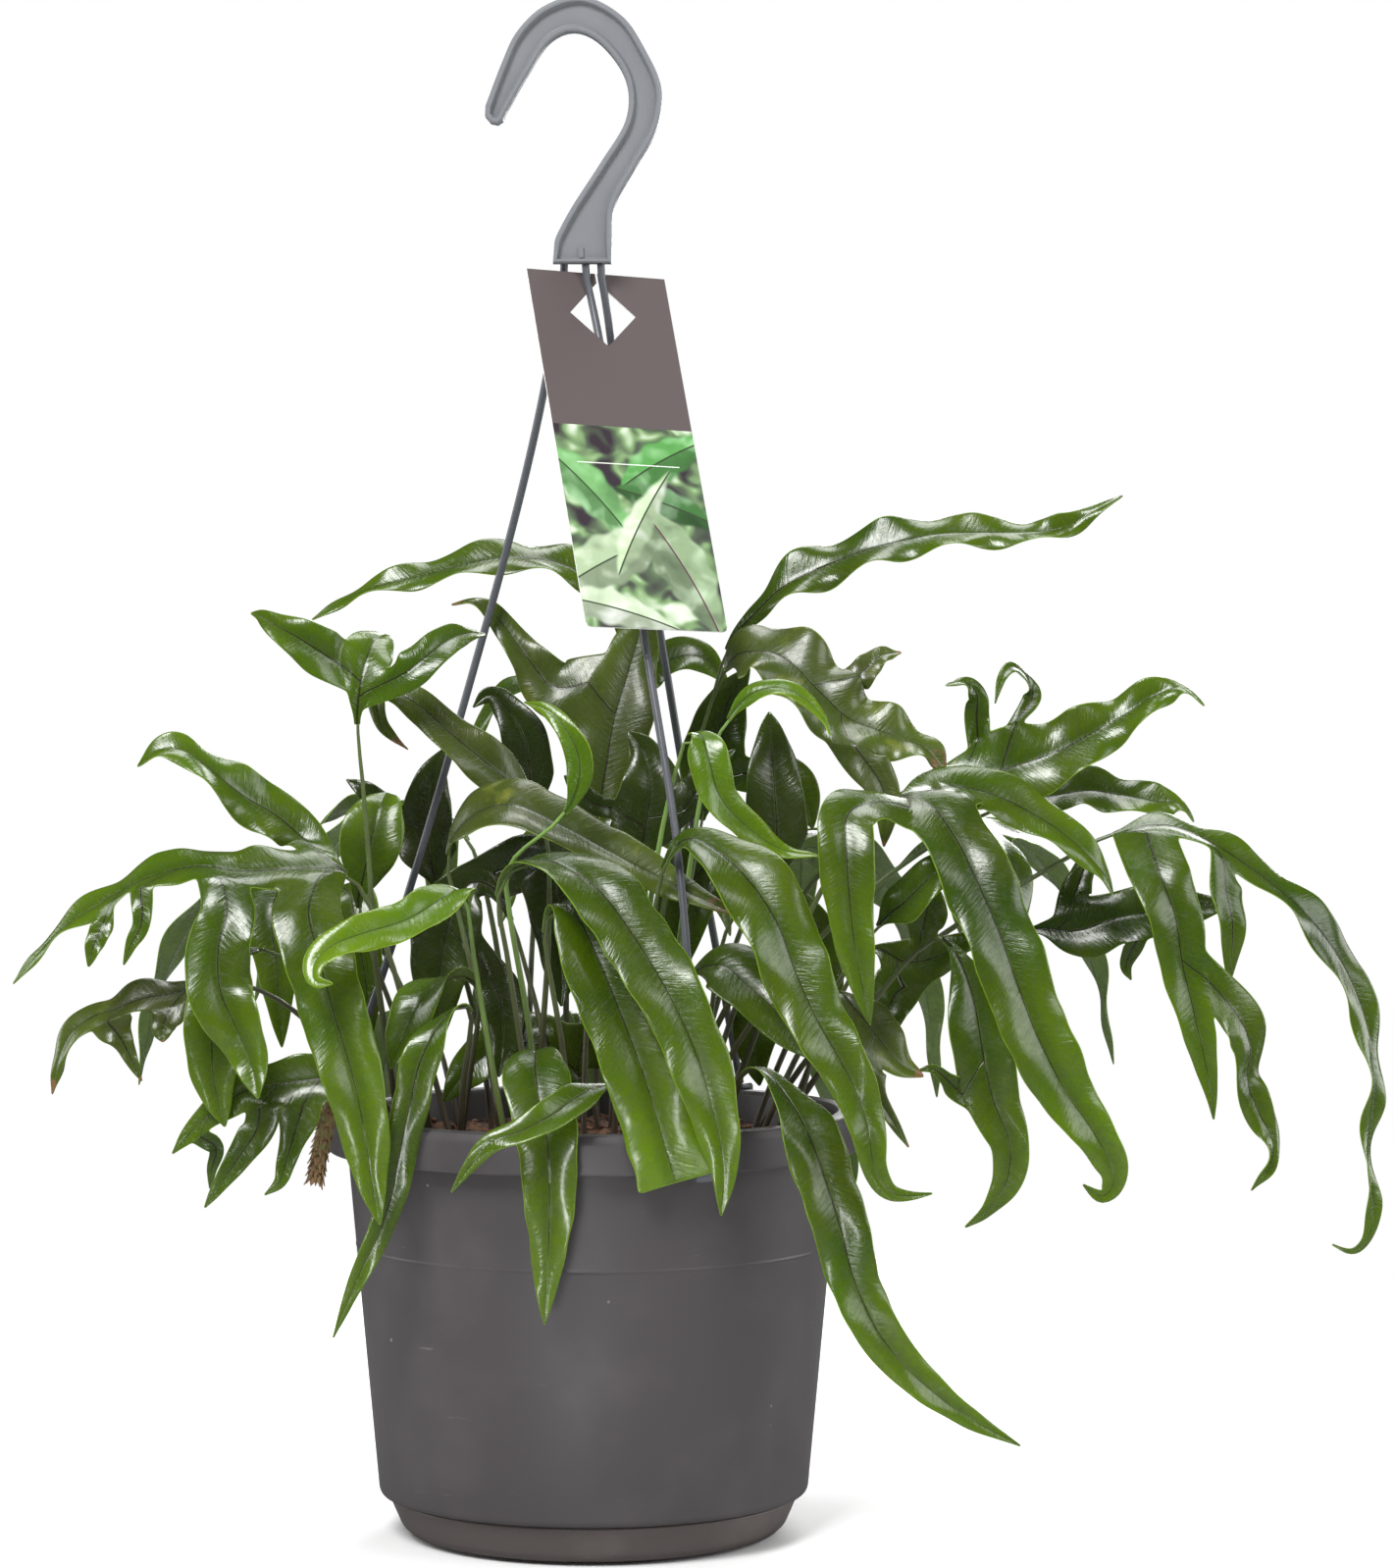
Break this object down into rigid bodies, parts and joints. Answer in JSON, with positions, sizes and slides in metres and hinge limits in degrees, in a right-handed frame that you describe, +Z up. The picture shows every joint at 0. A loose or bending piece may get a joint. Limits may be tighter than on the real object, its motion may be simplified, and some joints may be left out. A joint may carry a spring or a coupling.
{
  "type": "potted kangaroo paw fern in a hanging pot",
  "caption": "Kangaroo paw fern with arching, lobed, glossy fronds in a round plastic hanging pot with a clip-on saucer, a hook on rods and a plain hanging card tag.",
  "frame": {"origin": "centre of the saucer's underside, on the surface that it stands on when it isn't hung", "axes": "+Z up; -Y is the front, where the low fronds hang over the pot; +X is to the right of someone who looks at the front"},
  "size_m": [0.535, 0.2884, 0.6074],
  "materials": {
    "pot_plastic": "satin, lightly scuffed",
    "saucer_plastic": "satin, scuffed",
    "hanger_plastic": "satin, moulded",
    "tag_card": "printed, semi-gloss",
    "potting_soil": "loose fibre and crumbs",
    "rhizome": "rough, scaly",
    "leaf": "glossy, waxy",
    "leaf_young": "glossy, waxy",
    "leaf_old": "glossy, waxy, greyish sheen"
  },
  "bodies": {
    "root": {"pot": "pot_plastic", "saucer": "saucer_plastic", "soil": "potting_soil", "rhizome_tip": "rhizome", "frond_back_centre": "leaf", "frond_back_far_left": "leaf", "frond_back_far_right": "leaf", "frond_back_high": "leaf", "frond_back_left_high": "leaf", "frond_back_low_centre": "leaf", "frond_back_low_left": "leaf", "frond_back_low_right": "leaf", "frond_back_right": "leaf", "frond_bright_crossing": "leaf_young", "frond_bright_fold": "leaf_young", "frond_bright_hook": "leaf_young", "frond_bright_narrow": "leaf_young", "frond_centre_dark": "leaf_old", "frond_crest_lobed": "leaf", "frond_dark_centre": "leaf_old", "frond_dark_pair": "leaf_old", "frond_dried_tip": "leaf", "frond_front_bright": "leaf", "frond_front_centre": "leaf", "frond_front_crossing": "leaf", "frond_front_cut": "leaf", "frond_front_grey": "leaf", "frond_front_right": "leaf", "frond_grey_right": "leaf_old", "frond_inner_high": "leaf_old", "frond_inner_left": "leaf_old", "frond_inner_low": "leaf_old", "frond_inner_right": "leaf_old", "frond_left_behind": "leaf", "frond_left_broad": "leaf", "frond_left_dark": "leaf_old", "frond_left_fingers": "leaf", "frond_left_great": "leaf", "frond_left_low": "leaf", "frond_left_narrow": "leaf", "frond_left_upright": "leaf", "frond_low_long": "leaf", "frond_right_curled": "leaf", "frond_right_dark": "leaf_old", "frond_right_dark_low": "leaf", "frond_right_glossy": "leaf", "frond_right_great": "leaf", "frond_ruffled": "leaf", "frond_shade_centre": "leaf_old", "frond_shadow_right": "leaf_old", "frond_small_glossy": "leaf", "frond_top_left": "leaf", "frond_top_right": "leaf", "frond_trident": "leaf", "frond_upper_right": "leaf", "hanger_hook": "hanger_plastic", "hanger_rod_left": "hanger_plastic", "hanger_rod_front": "hanger_plastic", "hanger_rod_back": "hanger_plastic", "care_tag": "tag_card"}
  },
  "joints": []
}
